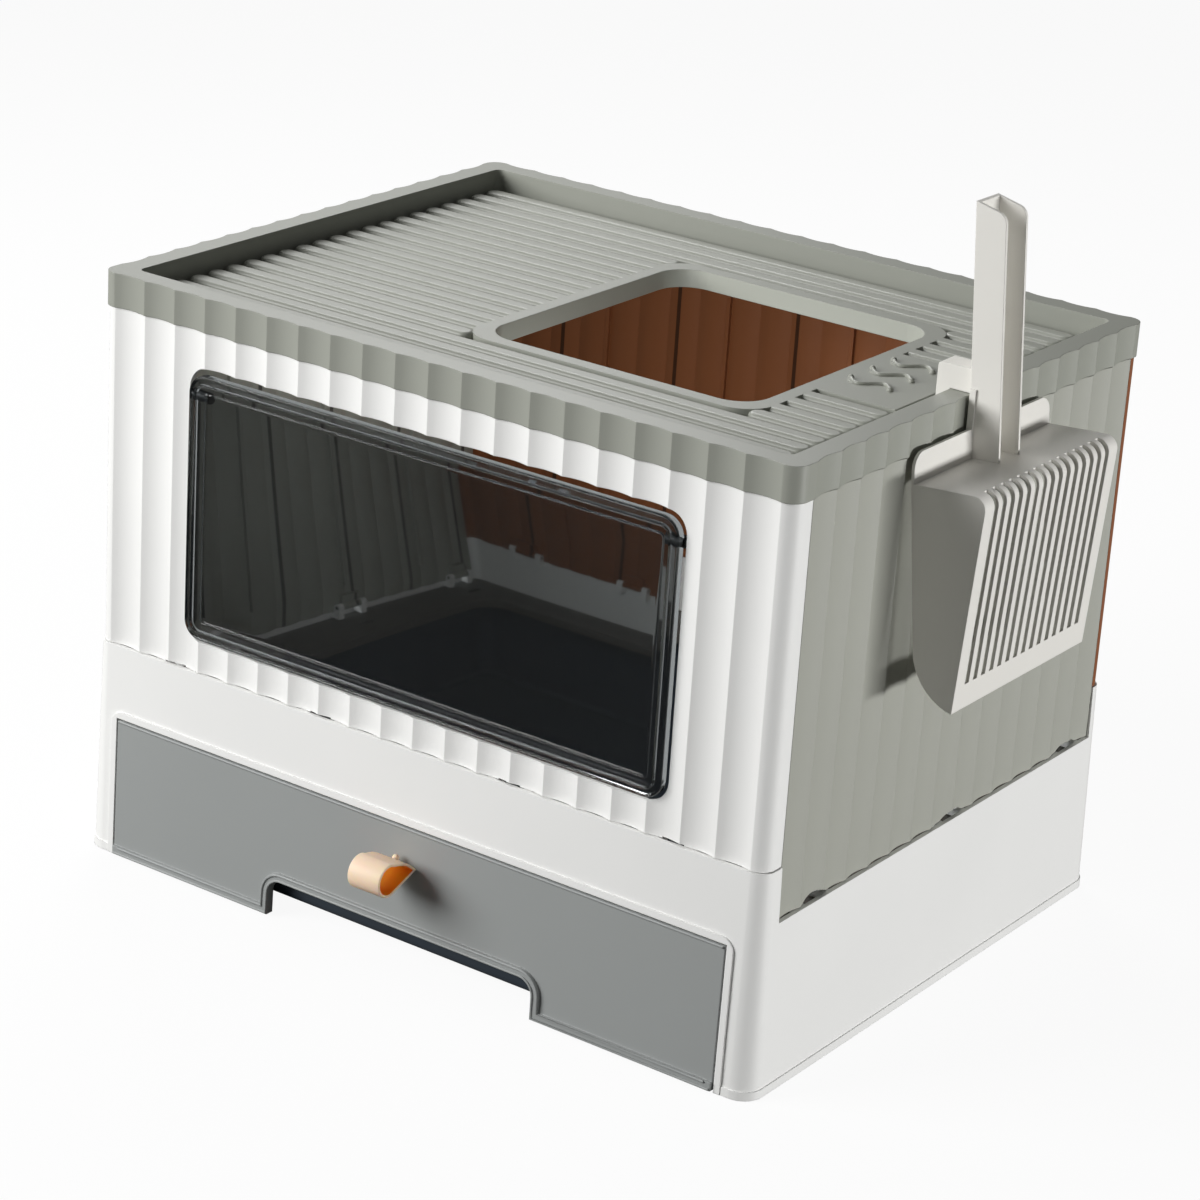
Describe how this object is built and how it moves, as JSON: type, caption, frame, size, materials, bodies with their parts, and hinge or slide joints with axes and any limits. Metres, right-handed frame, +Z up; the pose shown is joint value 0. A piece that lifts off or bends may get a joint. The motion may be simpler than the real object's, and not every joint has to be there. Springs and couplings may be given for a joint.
{
  "type": "drawer litter box",
  "caption": "Foldable enclosed litter box with fluted walls, a ribbed lid with a top entrance, a tinted front flap, a pull-out pan drawer and a slotted scoop hung on the rim.",
  "frame": {"origin": "centre of the base's underside, on the floor", "axes": "+X along the front to the right as seen from the front, +Y from front to back, +Z up"},
  "size_m": [0.5719, 0.4443, 0.5055],
  "materials": {
    "white_shell": "satin",
    "grey_lid": "satin",
    "grey_wall": "satin",
    "brown_wall": "satin",
    "grey_drawer": "satin",
    "grey_inner": "satin",
    "pan_grey": "satin",
    "smoke_tint": "polished",
    "peach_soft": "satin",
    "scoop_white": "satin",
    "pin_steel": "satin"
  },
  "bodies": {
    "base": {"base_shell": "white_shell", "deck_frame": "grey_inner", "drawer_runner_left": "grey_inner", "drawer_runner_right": "grey_inner", "runner_tie": "grey_inner", "front_panel": "white_shell", "back_panel": "brown_wall", "front_hinge_pins": "pin_steel", "back_hinge_pins": "pin_steel", "left_hinge_pins": "pin_steel", "right_hinge_pins": "pin_steel"},
    "drawer": {"drawer_front": "grey_drawer", "litter_pan": "pan_grey", "pull_loop": "peach_soft", "pull_rivet": "peach_soft"},
    "window": {"window_flap": "smoke_tint", "window_pivot_pins": "pin_steel"},
    "left_wall": {"left_panel": "grey_wall"},
    "right_wall": {"right_panel": "grey_wall"},
    "cover": {"lid": "grey_lid"},
    "shovel": {"scoop": "scoop_white"}
  },
  "joints": [
    {"name": "drawer_slide", "type": "slide", "parent": "base", "child": "drawer", "axis": [0, -1, 0], "range_m": [0, 0.3]},
    {"name": "window_swing", "type": "hinge", "parent": "base", "child": "window", "pos_m": [0, -0.1935, 0.326], "axis": [-1, 0, 0], "range_deg": [0, 75]},
    {"name": "left_fold", "type": "hinge", "parent": "base", "child": "left_wall", "pos_m": [-0.2482, 0, 0.114], "axis": [0, 1, 0], "range_deg": [0, 87]},
    {"name": "right_fold", "type": "hinge", "parent": "base", "child": "right_wall", "pos_m": [0.2482, 0, 0.114], "axis": [0, -1, 0], "range_deg": [0, 90]},
    {"name": "lid_lift", "type": "slide", "parent": "base", "child": "cover", "axis": [0, 0, 1], "range_m": [0, 0.15]},
    {"name": "scoop_lift", "type": "slide", "parent": "cover", "child": "shovel", "axis": [0, 0, 1], "range_m": [0, 0.1]}
  ]
}
